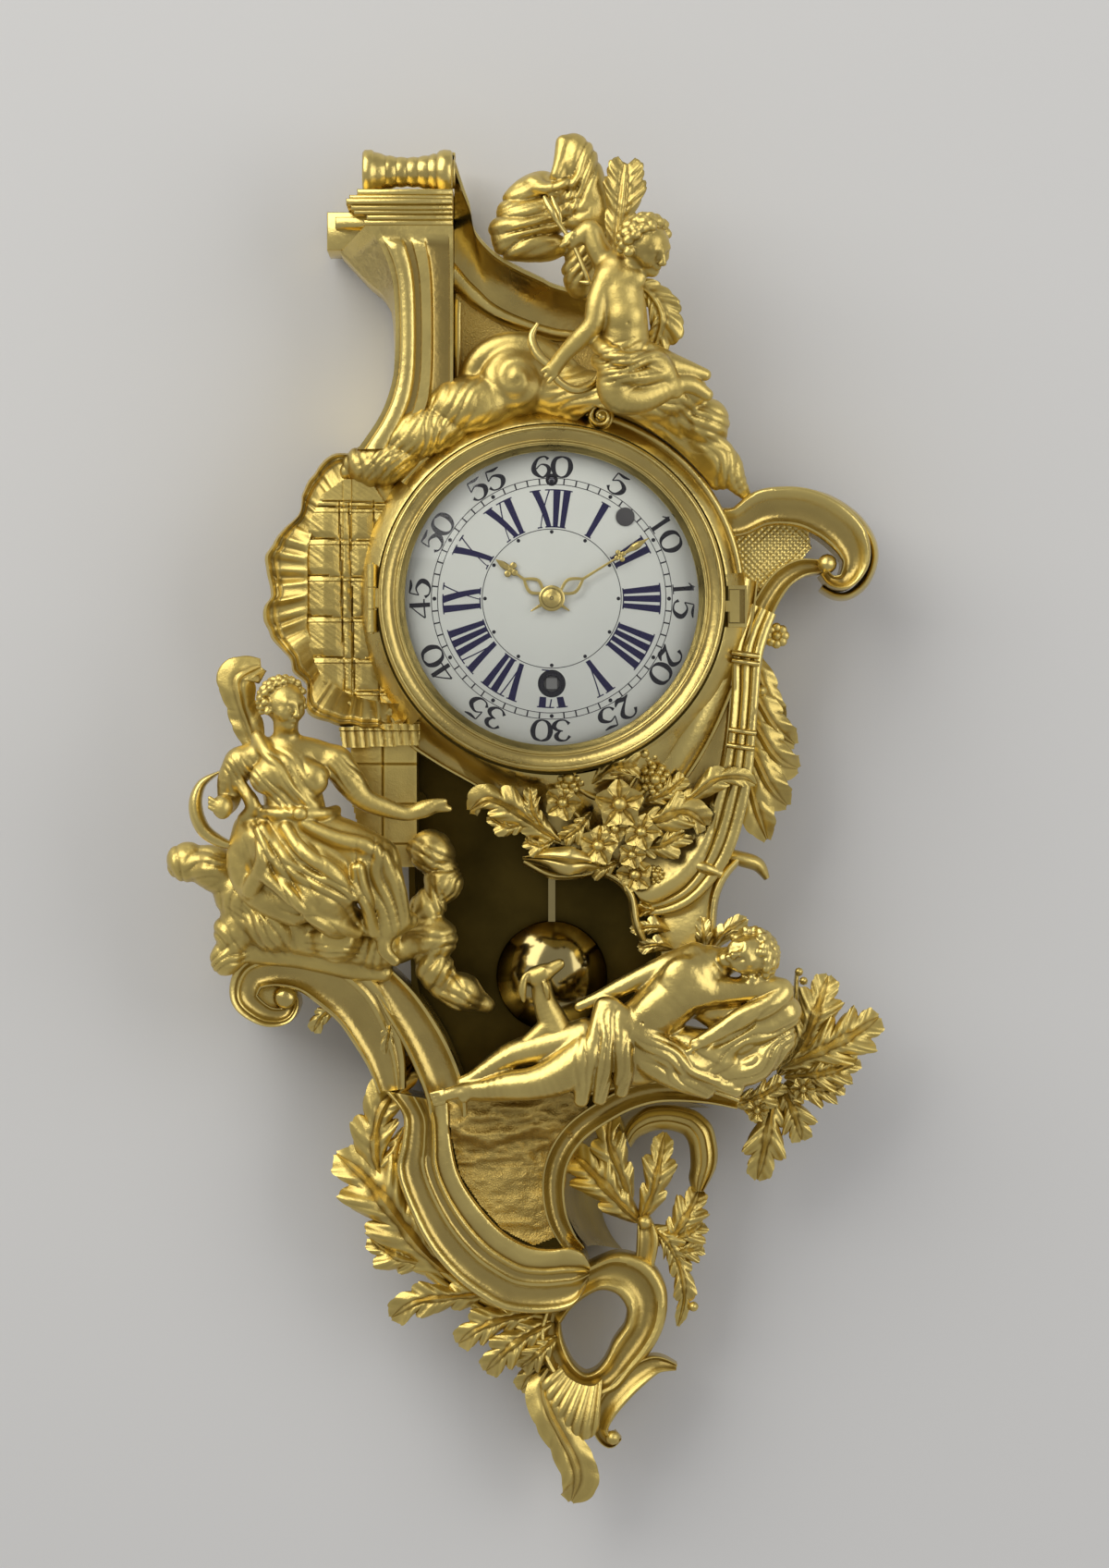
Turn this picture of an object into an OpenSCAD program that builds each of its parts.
// A gilt-bronze cartel clock: an asymmetric wall clock with figures, scrolls and leaves round an
// enamel dial. The origin is the centre of the hanging hole on the wall plane. +Z is up, and the
// clock faces -Y. Shapes are drawn as seen from the front, x right, y up and z out from the wall.

/* [Dial and bezel] */
// Drop from the hanging hole to the dial centre
dial_drop = 130; // [126:1:136]
// Radius of the enamel dial
dial_r = 98; // [95:1:101]
// Thickness of the enamel dial
dial_t = 2; // [1.5:0.1:2.5]
// Rise of the domed dial at its centre
dial_rise = 5; // [3:0.5:6]
// Width of the bezel ring in front
bezel_w = 18; // [15:0.5:20]
// Height of the bezel ring above the case front
bezel_h = 16; // [14:0.5:20]
// Thickness of the convex glass
glass_t = 2.5; // [2:0.1:3]
// Rise of the convex glass
glass_rise = 14; // [12:1:18]
// Radius of the winding hole
winding_hole_r = 9; // [8:0.5:10]
// Radius of the round plug in the dial
plug_r = 5.9; // [5:0.1:7]

/* [Case] */
// Depth from the wall to the front of the drum
case_depth = 100; // [97:1:106]
// Depth of the pendulum box
box_depth = 62; // [58:1:66]
// Wall of the drum and of the pendulum box
wall_t = 4; // [3:0.5:5]
// Thickness of the back plate
back_t = 4; // [3:0.5:5]
// Width of the flange round the drum's front
flange_w = 8; // [6:0.5:9]
// Radius of the hanging hole
hanging_hole_r = 5; // [4:0.5:6]
// Radius of the two steady-screw holes
steady_hole_r = 2.5; // [2:0.25:3]
// Spacing of the steady-screw holes
steady_spacing = 60; // [50:1:70]

/* [Hinge and catch] */
// Radius of the hinge knuckles
knuckle_r = 3.5; // [3:0.1:4]
// Length of the hinge
hinge_l = 44; // [40:1:50]
// Radius of the hinge pin
hinge_pin_r = 1.4; // [1.2:0.1:1.6]
// Travel of the bezel catch
catch_travel = 2.5; // [2:0.5:4]

/* [Hands] */
// Hour shown at rest
hour_at_rest = 10; // [0:1:11]
// Minute shown at rest
minute_at_rest = 9.7; // [0:0.1:59.9]
// Length of the hour hand
hour_hand_l = 44; // [40:1:50]
// Length of the minute hand
minute_hand_l = 74; // [68:1:80]
// Thickness of the hands
hand_t = 1; // [0.8:0.1:1.4]

/* [Movement] */
// Distance from the wall to the back of the movement
movement_z = 40; // [39:0.5:42]
// Thickness of the movement plates
plate_t = 3; // [2.5:0.1:3.5]
// Space between the movement plates
plate_gap = 39; // [38:0.5:41]
// Module of the great wheel's teeth
great_module = 0.9; // [0.86:0.01:0.94]
// Module of the intermediate wheel's teeth
intermediate_module = 0.7; // [0.67:0.01:0.73]
// Module of the centre wheel's teeth
centre_module = 0.6; // [0.58:0.01:0.62]
// Module of the third wheel's teeth
third_module = 0.55; // [0.53:0.01:0.57]
// Module of the motion work's teeth
motion_module = 0.5; // [0.48:0.01:0.52]
// Radius of the escape wheel
escape_r = 18; // [17:0.5:19]
// Radius of the wheel arbors
arbor_r = 1.6; // [1.4:0.1:1.8]
// Radius of the arbor pivots
pivot_r = 0.9; // [0.8:0.05:1]

/* [Pendulum] */
// Distance from the suspension to the centre of the bob
pendulum_l = 314; // [308:1:318]
// Radius of the bob
bob_r = 37; // [34:0.5:39]
// Thickness of the bob
bob_t = 30; // [26:1:32]
// Width of the pendulum rod
rod_w = 4.6; // [4:0.2:5.4]
// Thickness of the pendulum rod
rod_t = 2; // [1.6:0.1:2.4]

/* [Hidden] */
$fn = 48;
gilt = "goldenrod";
brass = "khaki";
steel = "silver";

// Clearances: seat is the gap between castings that are screwed together, run is the radial gap
// of a pivot in its hole, and clear is the gap round a piece that must move freely.
seat = 0.3;
run = 0.06;
clear = 0.5;
big = 900;

// Radii that follow from the dial outwards
sight_lap = 4;
glass_lap = 3;
sight_r = dial_r - sight_lap;
glass_r = sight_r + glass_lap;
bezel_r = sight_r + bezel_w;
drum_r = bezel_r - flange_w;
drum_in_r = drum_r - wall_t;
flange_r = bezel_r + 1.7;
surround_r = flange_r + seat;

// The ornament was laid out round a bezel of layout_r hung layout_drop below the hole. A point of
// the layout moves out from the dial centre as the bezel grows.
layout_r = 112;
layout_drop = 130;
function lay(p) =
  let (v = [p[0], p[1] + layout_drop], moved = v * (1 + (bezel_r - layout_r) / norm(v)))
  [moved[0], moved[1] - dial_drop];
function spot(x, y, z) = let (q = lay([x, y])) [q[0], q[1], z];
function laid(points) = [for (p = points) let (q = lay(p)) [q[0], q[1], len(p) > 2 ? p[2] : 0]];

// Levels out from the wall
apron_t = 10;
lower_z = box_depth;
apron_z = box_depth + apron_t;
front_z = case_depth;
upper_front_z = front_z - 5;
crest_rim_z = front_z - 20;
crest_panel_z = crest_rim_z - 20;
cloud_top_z = front_z + 4;
child_z = front_z + 10;
ashlar_z = front_z - 15;
pier_front_z = box_depth + 18;
left_cloud_z = pier_front_z + seat;
left_cloud_top_z = left_cloud_z + 24;
seated_z = left_cloud_top_z + seat;
stile_z = lower_z + 14;
arch_z = lower_z + 22;
sleeper_z = arch_z + seat;

// A smooth curve through points of any dimension
function through(a, b, c, d, t) =
  0.5 * (2 * b + (c - a) * t + (2 * a - 5 * b + 4 * c - d) * t * t
         + (3 * b - a - 3 * c + d) * t * t * t);
function pick(p, i) = p[max(0, min(len(p) - 1, i))];
function curve(p, steps = 5) =
  concat([for (i = [0:len(p) - 2]) for (k = [0:steps - 1])
            through(pick(p, i - 1), p[i], p[i + 1], pick(p, i + 2), k / steps)],
         [p[len(p) - 1]]);
function flat(p) = [for (q = p) [q[0], q[1]]];
function backwards(p) = [for (i = [len(p) - 1:-1:0]) p[i]];
function side(p, i) =
  let (d = flat([pick(p, i + 1) - pick(p, i - 1)])[0]) [-d[1], d[0]] / norm(d);
// The outline of a band that follows points [x, y, width]
function band(p) =
  concat([for (i = [0:len(p) - 1]) [p[i][0], p[i][1]] + side(p, i) * p[i][2] / 2],
         [for (i = [len(p) - 1:-1:0]) [p[i][0], p[i][1]] - side(p, i) * p[i][2] / 2]);
// Points [x, y, width] of a spiral from angle a0 to a1
function spiral(c, r0, r1, a0, a1, w0, w1, steps = 16) =
  [for (i = [0:steps]) let (t = i / steps, a = a0 + (a1 - a0) * t, r = r0 + (r1 - r0) * t)
    [c[0] + r * cos(a), c[1] + r * sin(a), w0 + (w1 - w0) * t]];

// Stands a front drawing up against the wall
module hang() rotate([90, 0, 0]) children();
module layer(z0, z1) translate([0, 0, z0]) linear_extrude(z1 - z0) children();
module from_dial() translate([0, -dial_drop, 0]) children();
module ahead_of(z) intersection() {
  children();
  translate([-big / 2, -big, z]) cube([big, 2 * big, big]);
}
module between(z0, z1) intersection() {
  children();
  translate([-big / 2, -big, z0]) cube([big, 2 * big, z1 - z0]);
}
// A moulded band: a broad base and a narrower raised rib along the same curve
module moulding(points, z0, z1, rib = 0.45, step = 6) {
  path = curve(laid(points));
  layer(z0, z1 - step) polygon(band(path));
  layer(z1 - step, z1) polygon(band([for (p = path) [p[0], p[1], p[2] * rib]]));
}
// A rounded limb or roll through knots [x, y, z above base, radius]. Its radius grows as the
// layout spreads, so that knots which touch keep touching.
knot_fn = 8;
spread = bezel_r / layout_r;
module roll(base, knots) {
  for (i = [0:len(knots) - 2]) hull() for (k = [knots[i], knots[i + 1]])
    translate(spot(k[0], k[1], base + k[2])) sphere(k[3] * spread, $fn = knot_fn);
}
module rolls(base, chains) for (chain = chains) roll(base, chain);
// A rounded puff at [x, y, z above base, radius]
module puffs(base, list) for (k = list) hull()
  translate(spot(k[0], k[1], base + k[2])) sphere(k[3] * spread, $fn = knot_fn);

// The branch that a row of leaves grows from, along points [x, y, width]
module stem(points, z0, z1) layer(z0, z1) polygon(band(curve(laid(points))));
// A lobed leaf along points [x, y, z, half width], with a raised rib and a flat-angled back
leaf_rib = 0.28;
leaf_t = 4;
module leaf(points, base, lobes = 4, steps = 3) {
  path = curve([for (p = points) let (q = lay(p)) [q[0], q[1], base + p[2], p[3]]], steps);
  n = len(path);
  function edge_w(i) = path[i][3] * (0.78 + 0.22 * abs(sin(180 * lobes * i / (n - 1))));
  function mid(i) = [path[i][0], path[i][1], path[i][2]];
  function across(i, s) = let (v = side(path, i) * edge_w(i) * s) [v[0], v[1], 0];
  function up(h) = [0, 0, h];
  rings = [for (i = [0:n - 1]) [
    mid(i) + across(i, 1) - up(leaf_t * 0.4),
    mid(i) + across(i, 0.5) + up(edge_w(i) * leaf_rib * 0.8),
    mid(i) + up(edge_w(i) * leaf_rib),
    mid(i) - across(i, 0.5) + up(edge_w(i) * leaf_rib * 0.8),
    mid(i) - across(i, 1) - up(leaf_t * 0.4),
    mid(i) - up(leaf_t)]];
  for (i = [0:n - 2]) hull() polyhedron(points = concat(rings[i], rings[i + 1]),
    faces = [[0, 1, 2, 3, 4, 5], [11, 10, 9, 8, 7, 6]]);
}

// Case
box_edge = laid([[-92, -170], [-95, -250], [-92, -380], [-76, -452], [72, -452], [72, -340],
                 [96, -290], [104, -230], [100, -170]]);
apron_edge = laid([[-92, -165], [-93, -230], [-45, -258], [-12, -284], [0, -300], [30, -304],
                   [50, -316], [54, -352], [74, -352], [96, -292], [108, -236], [104, -165]]);
lower_edge = laid([[-80, -452.3], [-88, -505], [-66, -552], [-30, -572], [4, -572], [10, -540],
                   [8, -510], [14, -480], [36, -452.3]]);
neck_edge = laid([[-70, -446], [-72, -460], [24, -460], [28, -446]]);
upper_edge = laid([[-96, -30], [-96, 110], [-66, 110], [-46, 86], [-14, 62], [30, 46], [44, 0],
                   [60, -30]]);
chamber_slot_w = 40;
chamber_slot_z = [14, 46];
boss_r = 5;
screw_r = 1.6;
screw_head_r = 3;
screw_head_t = 2;
screw_l = 10;
boss_l = 16;
case_screw_spots = [for (p = [[-88, -260], [93, -262], [-72, -440], [65, -440]])
                    let (q = lay(p)) [q[0], q[1]]];
steady_y = lay([0, -430])[1];

// An outline drawn in by t, corner by corner
function inset(edge, t) = let (n = len(edge)) [for (i = [0:n - 1])
  let (p = edge[i], a = edge[(i + n - 1) % n], b = edge[(i + 1) % n],
       u = (p - a) / norm(p - a), v = (b - p) / norm(b - p),
       m = [-u[1], u[0]] + [-v[1], v[0]])
  p + m * t * 2 / (m * m)];
module back_plate() color("peru") hang() difference() {
  union() {
    from_dial() cylinder(r = drum_r, h = back_t);
    layer(0, back_t) polygon(flat(box_edge));
    layer(0, back_t) polygon(flat(lower_edge));
    layer(0, back_t) polygon(flat(neck_edge));
    layer(0, back_t) polygon(flat(upper_edge));
  }
  translate([0, 0, -1]) cylinder(r = hanging_hole_r, h = back_t + 2);
  for (s = [-1, 1]) translate([s * steady_spacing / 2, steady_y, -1])
    cylinder(r = steady_hole_r, h = back_t + 2);
  for (p = case_screw_spots) translate([p[0], p[1], -1]) {
    cylinder(r = screw_r + run, h = back_t + 2);
    cylinder(r = screw_head_r + clear, h = screw_head_t + 1 + seat);
  }
}
lug_w = 12;
lug_t = 3;
dial_seat_z = front_z - 6;
lug_angles = [45, 135, 225, 315];
module case_shell() color(gilt) hang() {
  difference() {
    from_dial() {
      difference() {
        union() {
          translate([0, 0, back_t]) cylinder(r = drum_r, h = front_z - back_t);
          translate([0, 0, front_z - 8]) cylinder(r = flange_r, h = 8);
        }
        translate([0, 0, back_t - 1]) cylinder(r = drum_in_r, h = front_z);
      }
      for (a = lug_angles) intersection() {
        rotate(a) translate([dial_r - 5, -lug_w / 2, dial_seat_z - lug_t])
          cube([drum_r - dial_r + 3, lug_w, lug_t]);
        translate([0, 0, back_t]) cylinder(r = drum_r - wall_t / 2, h = front_z);
      }
    }
    translate([-chamber_slot_w / 2, -dial_drop - drum_r - 10, chamber_slot_z[0]])
      cube([chamber_slot_w, 40, chamber_slot_z[1] - chamber_slot_z[0]]);
  }
  difference() {
    layer(back_t, box_depth) polygon(flat(box_edge));
    layer(back_t - 1, box_depth + 1) polygon(inset(flat(box_edge), wall_t));
    from_dial() cylinder(r = drum_r - wall_t / 2, h = box_depth + 1);
  }
  for (p = case_screw_spots) translate([p[0], p[1], back_t]) difference() {
    cylinder(r = boss_r, h = boss_l);
    translate([0, 0, -1]) cylinder(r = screw_r, h = boss_l);
  }
}
module lower_case() color(gilt) hang() difference() {
  layer(back_t, lower_z) polygon(flat(lower_edge));
  layer(back_t - 1, lower_z - wall_t) polygon(inset(flat(lower_edge), wall_t));
}
module case_screws() color(steel) hang() for (p = case_screw_spots) translate([p[0], p[1], 0]) {
  cylinder(r = screw_head_r, h = screw_head_t);
  cylinder(r = screw_r - run, h = back_t + screw_l);
}

// Upper ornament
surround_w = 12;
surround_out_r = surround_r + surround_w;
module ring_cut(z) from_dial() translate([0, 0, -1])
  cylinder(r = surround_out_r + seat, h = z + 1, $fn = 96);
module bezel_cut() from_dial() translate([0, 0, -1])
  cylinder(r = surround_r + seat, h = 3 * front_z, $fn = 96);

pilaster_right = -64;
shaft_edge = [[-136, 96], [-120, 78], [-110, 68], [-104, 54], [-103, 21], [-107, 0], [-117, -20],
              [-130, -35]];
front_edge = [[-119, 115], [-102, 76], [-101, 54], [-101.5, 21], [-105, 2], [-112, -14], [-124, -30]];
// Courses of the entablature: left, bottom, top, depth in front of the shaft
courses = [[-147, 96, 112, -30], [-140, 112, 119, -14], [-120, 112, 119, 2], [-128, 119, 125, 5],
           [-133, 125, 131, 9], [-126, 131, 135, 7]];
course_lap = 1;
scroll_axis_y = 147;
module shaft_slab(edge, top, z0, z1) layer(z0, z1)
  polygon(flat(concat(laid([[pilaster_right, top]]), curve(laid(edge)), laid([[pilaster_right, -36]]))));
module pilaster() color(gilt) hang() difference() {
  union() {
    shaft_slab(shaft_edge, 96, back_t, upper_front_z - 20);
    shaft_slab(front_edge, 115, upper_front_z - 20, upper_front_z);
    layer(upper_front_z, upper_front_z + 3)
      polygon(flat(laid([[-94, 8], [-94, 102], [-86, 102], [-86, 8]])));
    for (c = courses) layer(back_t, upper_front_z + c[3])
      polygon(flat(laid([[c[0], c[1] - course_lap], [c[0], c[2]], [pilaster_right, c[2]],
                         [pilaster_right, c[1] - course_lap]])));
  }
  layer(back_t - 1, upper_front_z - 12)
    polygon(flat(laid([[-97, 110], [-72, 110], [-72, 0], [-97, 0]])));
  ring_cut(2 * front_z);
}
module pilaster_scroll() color(gilt) hang() {
  seat_y = lay([-95, 135])[1] + seat;
  centre = lay([-95, scroll_axis_y]);
  half = 28;
  end_r = 14;
  waist_r = 10;
  profile = [for (i = [-6:6]) let (t = i / 6) [waist_r + (end_r - waist_r) * t * t, half * t]];
  intersection() {
    translate([centre[0], centre[1], upper_front_z - 16]) rotate([0, 90, 0])
      rotate_extrude() polygon(concat([[0, -half]], profile, [[0, half]]));
    translate([-big / 2, seat_y, 0]) cube([big, big, big]);
  }
}
crest_edge = [[-63.7, 159], [-58, 138], [-53.5, 124], [-43, 102], [-21, 87], [1, 76], [23, 69]];
crest_inner = [[-63.7, 72], [-51, 61], [-36, 52], [-17.5, 45], [1, 40], [17.5, 39]];
rim_w = 9;
module crest() color(gilt) hang() {
  top = curve(laid(crest_edge));
  rim = [for (i = [0:len(top) - 1]) flat(top)[i] - side(top, i) * rim_w];
  fillet = curve([for (p = laid(crest_inner)) [p[0], p[1] + 3, 6]]);
  difference() {
    union() {
      layer(back_t, crest_panel_z)
        polygon(flat(concat(top, laid([[46, 40], [62, 0], [70, -40], [-63.7, -40]]))));
      layer(crest_panel_z, crest_rim_z - 8) polygon(concat(flat(top), backwards(flat(fillet))));
      layer(crest_rim_z - 8, crest_rim_z)
        polygon(concat(flat(top), [for (p = backwards(rim)) [max(p[0], flat(top)[0][0]), p[1]]]));
      layer(crest_rim_z - 8, crest_rim_z - 4) intersection() {
        polygon(band(fillet));
        translate([flat(top)[0][0], -big / 2]) square(big);
      }
    }
    ring_cut(2 * front_z);
    layer(back_t - 1, crest_panel_z - 6)
      polygon(flat(laid([[-56, 90], [-40, 74], [-8, 52], [30, 46], [48, 6], [-56, 6]])));
    translate([0, 0, -1]) cylinder(r = 4 * hanging_hole_r, h = crest_panel_z - 5);
  }
}
top_cloud_puffs = [[-27, 10, 16, 24], [-5, 9, 18, 22], [-51, -3, 24, 18], [-38, 16, 14, 16],
  [12, 0, 20, 18], [-74, -12, 36, 14], [-90, -20, 37, 12], [-90, -30, 35, 11], [-103, -38, 35, 11],
  [-113, -46, 34, 9], [-125, -42, 34, 8], [40, -4, 28, 17], [50, 16, 36, 15], [62, -8, 30, 16],
  [86, -11, 30, 16], [106, -19, 28, 15], [112, -26, 26, 11], [98, -30, 26, 12], [112, -42, 24, 9],
  [118, -52, 23, 8]];
module top_clouds() color(gilt) hang() difference() {
  between(crest_panel_z + seat, child_z - seat) {
    puffs(crest_panel_z, top_cloud_puffs);
    roll(crest_panel_z, [[-14, 26, 30, 10], [-30, 20, 32, 9], [-28, 6, 34, 7]]);
  }
  translate([-big, -big, 0]) cube([big + lay([pilaster_right, 0])[0] + seat, 2 * big,
                                   upper_front_z + seat]);
  ring_cut(surround_z + seat);
  bezel_cut();
  bow_room();
}
child_limbs = [
  [[62, 98, 26, 15], [47, 84, 20, 8]],
  [[44, 80, 18, 13], [46, 62, 18, 14], [49, 44, 18, 14], [46, 28, 13, 15]],
  [[40, 86, 16, 8], [30, 106, 14, 7], [15, 97, 4, 6]],
  [[37, 72, 18, 8], [29, 50, 20, 6.5], [10, 31, 12, 5], [2, 18, 3.5, 5]],
  [[47, 24, 20, 13], [42, 0, 24, 11], [64, 1, 20, 8.5], [82, 7, 14, 6], [99, 1, 6, 5]],
  [[52, 24, 11, 13], [72, 21, 10, 9], [90, 16, 6, 6], [98, 14, 5, 4]],
  [[43, 86, 9, 7], [57, 128, 4, 8], [48, 148, 3, 7]],
  [[42, 88, 9, 7], [36, 144, 3, 6]],
  [[58, 74, 5, 8], [76, 56, 4, 8], [76, 30, 3, 6]]];
module winged_child() color(gilt) hang() ahead_of(child_z) rolls(child_z, child_limbs);
drapery_rolls = [
  [[14, 162, 10, 11], [16, 140, 12, 11], [14, 118, 12, 13]],
  [[26, 156, 8, 7], [26, 124, 10, 8]],
  [[-30, 111, 8, 12], [-12, 107, 12, 18], [8, 102, 10, 14]],
  [[-34, 108, 8, 8], [-14, 98, 12, 9], [6, 88, 10, 9]],
  [[4, 94, 8, 10], [10, 77, 8, 9], [20, 74, 7, 6]],
  [[2, 148, 8, 7], [-6, 130, 10, 10], [-24, 118, 9, 9]]];
module child_drapery() color(gilt) hang()
  between(crest_rim_z + seat, cloud_top_z) rolls(crest_rim_z, drapery_rolls);
bow_path = [[-9, 47, 3.5], [-13, 34, 4.5], [-5, 21, 5], [4, 11, 5.5], [16, 5, 4.5], [30, 15, 3]];
arrow_path = [[-2, 128, 2.6], [28, 61, 2.6]];
module bow_outline() polygon(band(curve(laid(bow_path))));
module arrow_outline() polygon(band(laid(arrow_path)));
module bow_room() layer(cloud_top_z, child_z) offset(delta = seat) bow_outline();
module bow_and_arrow() color(gilt) hang() {
  layer(cloud_top_z + seat, child_z - seat) bow_outline();
  layer(cloud_top_z + seat, child_z - seat) arrow_outline();
}

// Right side
surround_z = front_z - 4;
surround_from = 8;
surround_to = 142;
eye_r = 9;
module dial_surround() color(gilt) hang() from_dial() {
  eye_angle = 75;
  rotate(surround_from) rotate_extrude(angle = surround_to - surround_from)
    polygon([[surround_r, crest_panel_z], [surround_out_r, crest_panel_z],
             [surround_out_r, surround_z - 6], [surround_out_r - 4, surround_z],
             [surround_r, surround_z]]);
  rotate(eye_angle) translate([surround_r + eye_r + 1, 0, surround_z - 8])
    intersection() {
      cylinder(r = eye_r, h = 8);
      translate([-eye_r, -eye_r, 0]) cube([surround_w - 2, 2 * eye_r, 8]);
    }
}
side_scroll_path = [[124, -74, 12], [142, -68, 18], [162, -68, 19], [182, -74, 19], [197, -88, 17],
                    [201, -104, 14], [194, -117, 11], [183, -118, 8], [177, -112, 6]];
side_lower_path = [[172, -110, 8], [158, -114, 10], [147, -125, 12], [139, -139, 12]];
side_panel = [[120, -84], [150, -73], [168, -75], [166, -96], [156, -112], [146, -126], [137, -132],
              [126, -118]];
side_z = 30;
module side_scroll() color(gilt) hang() difference() {
  union() {
    moulding(side_scroll_path, side_z, upper_front_z - 6);
    moulding(side_lower_path, side_z, upper_front_z - 12);
    layer(side_z, upper_front_z - 24) polygon(flat(curve(laid(side_panel))));
    translate(spot(178, -107, side_z)) cylinder(r = 5, h = upper_front_z - 14 - side_z);
  }
  ring_cut(2 * front_z);
  layer(0, 2 * front_z) offset(delta = seat) stile_outline();
  layer(0, 2 * front_z) offset(delta = seat) catch_outline();
}
stile_outer = [[131, -138], [134, -155], [131, -180], [130, -204], [128, -225], [121, -246],
               [110, -269], [97, -290], [85, -306], [72, -324], [67, -354]];
stile_inner = [[112, -154], [107, -183], [95, -215], [81, -239], [76, -262], [70, -285],
               [60, -305], [54, -322], [53, -350]];
reed_path = [[127, -152, 7], [122, -190, 8], [118, -224, 8], [106, -258, 8], [90, -287, 7],
             [73, -310, 6]];
stile_front_z = apron_z + 20;
module stile_outline()
  polygon(flat(concat(curve(laid(stile_outer)), backwards(curve(laid(stile_inner))))));
module right_stile() color(gilt) hang() difference() {
  union() {
    layer(apron_z, stile_front_z) stile_outline();
    layer(stile_front_z, stile_front_z + 5) polygon(band(curve(laid(reed_path))));
  }
  bezel_cut();
  layer(0, 2 * front_z) offset(delta = seat) catch_outline();
}
palm_stem = [[126, -168, 6], [124, -190, 6], [122, -210, 6], [117, -230, 6], [112, -243, 6]];
palm_spines = [
  [[126, -172, 0, 3], [142, -192, 1, 7], [152, -204, -2, 2]],
  [[124.5, -187, -1, 3], [144, -206, 0, 7], [158, -217, -3, 2]],
  [[123, -203, 0, 3], [146, -219, 1, 8], [163, -231, -2, 2]],
  [[121, -217, -1, 3], [142, -237, 0, 7], [155, -249, -3, 2]],
  [[117, -230, 0, 3], [138, -250, 1, 8], [154, -263, -2, 2]],
  [[112.5, -241, -1, 3], [130, -265, 0, 7], [145, -280, -3, 2]]];
module palm_leaves() color(gilt) hang() {
  stem(palm_stem, apron_z - 16, apron_z - seat);
  for (i = [0:len(palm_spines) - 1])
    leaf(palm_spines[i], apron_z - 3.4 - (i % 2) * 8, 1);
}
boat_path = [[-18, -297, 6], [-4, -302, 13], [15, -302, 15], [31, -300, 11], [43, -305, 6]];
boat_z = apron_z + 22;
module boat_outline() polygon(band(curve(laid(boat_path))));
module apron() color(gilt) hang() difference() {
  union() {
    layer(box_depth, apron_z) polygon(flat(apron_edge));
    layer(apron_z, boat_z) boat_outline();
  }
  from_dial() cylinder(r = drum_r + seat, h = 2 * front_z);
}
swag_rolls = [
  [[-50, -263, 6, 4], [-41, -256, 8, 6], [-28, -255, 10, 7], [-14, -263, 10, 8], [0, -273, 10, 8]],
  [[-40, -266, 4, 5], [-28, -271, 6, 6], [-12, -282, 6, 7]],
  [[10, -250, 8, 8], [10, -262, 8, 9], [14, -276, 8, 8]],
  [[56, -268, 16, 8], [68, -273, 24, 6], [80, -277, 28, 5], [91, -276, 28, 4]]];
swag_puffs = [[11, -248, 18, 8], [31, -250, 12, 10], [42, -252, 14, 12], [44, -265, 16, 12],
  [58, -246, 11, 9], [66, -252, 12, 8], [28, -284, 14, 11], [42, -286, 14, 10], [55, -281, 16, 9],
  [52, -296, 20, 8], [54, -308, 20, 8], [64, -268, 10, 8], [22, -268, 12, 10]];
module flower_swag() color(gilt) hang() difference() {
  ahead_of(apron_z + seat) {
    rolls(apron_z, swag_rolls);
    puffs(apron_z, swag_puffs);
  }
  layer(0, boat_z + seat) offset(delta = seat) boat_outline();
  layer(0, stile_front_z + 5 + seat) offset(delta = seat) stile_outline();
  from_dial() cylinder(r = surround_r + seat, h = 3 * front_z);
}

// Left side
shell_path = [[-136, -42, 12], [-150, -54, 18], [-160, -73, 22], [-172, -96, 27], [-174, -126, 27],
              [-170, -155, 25], [-159, -178, 22], [-146, -194, 18], [-124, -204, 16], [-98, -206, 10]];
module shell_outline() polygon(band(curve(laid(shell_path))));
module shell_border() color(gilt) hang() difference() {
  moulding(shell_path, back_t + 16, ashlar_z - 9, 0.5, 9);
  ring_cut(2 * front_z);
}
ashlar_edge = [[-132, -60], [-148, -72], [-157, -88], [-162, -110], [-162, -150], [-150, -170],
               [-140, -184], [-124, -194], [-99, -196], [-95, -188], [-80, -170], [-80, -70],
               [-112, -58]];
ashlar_rows = [-70, -91, -115, -141, -167, -188];
ashlar_columns = [-137, -131];
pier_rows = [-226, -252, -277];
pier_edge = [[-140, -216], [-140, -226], [-133, -229], [-133, -298], [-95.3, -298], [-95.3, -216]];
groove = 1.5;
module ashlar_panel() color(gilt) hang() {
  difference() {
    layer(back_t + 16, ashlar_z) difference() {
      polygon(flat(laid(ashlar_edge)));
      offset(delta = seat) shell_outline();
    }
    bezel_cut();
    for (y = ashlar_rows) translate(spot(-180, y, ashlar_z - groove)) cube([50, groove, groove + 1]);
    for (x = ashlar_columns) translate(spot(x, -200, ashlar_z - groove)) cube([groove, 150, groove + 1]);
  }
  difference() {
    layer(back_t + 16, pier_front_z) polygon(flat(laid(pier_edge)));
    for (y = pier_rows) translate(spot(-150, y, pier_front_z - groove)) cube([60, groove, groove + 1]);
    layer(0, pier_front_z + 1) offset(delta = seat) shell_outline();
  }
}
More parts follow.
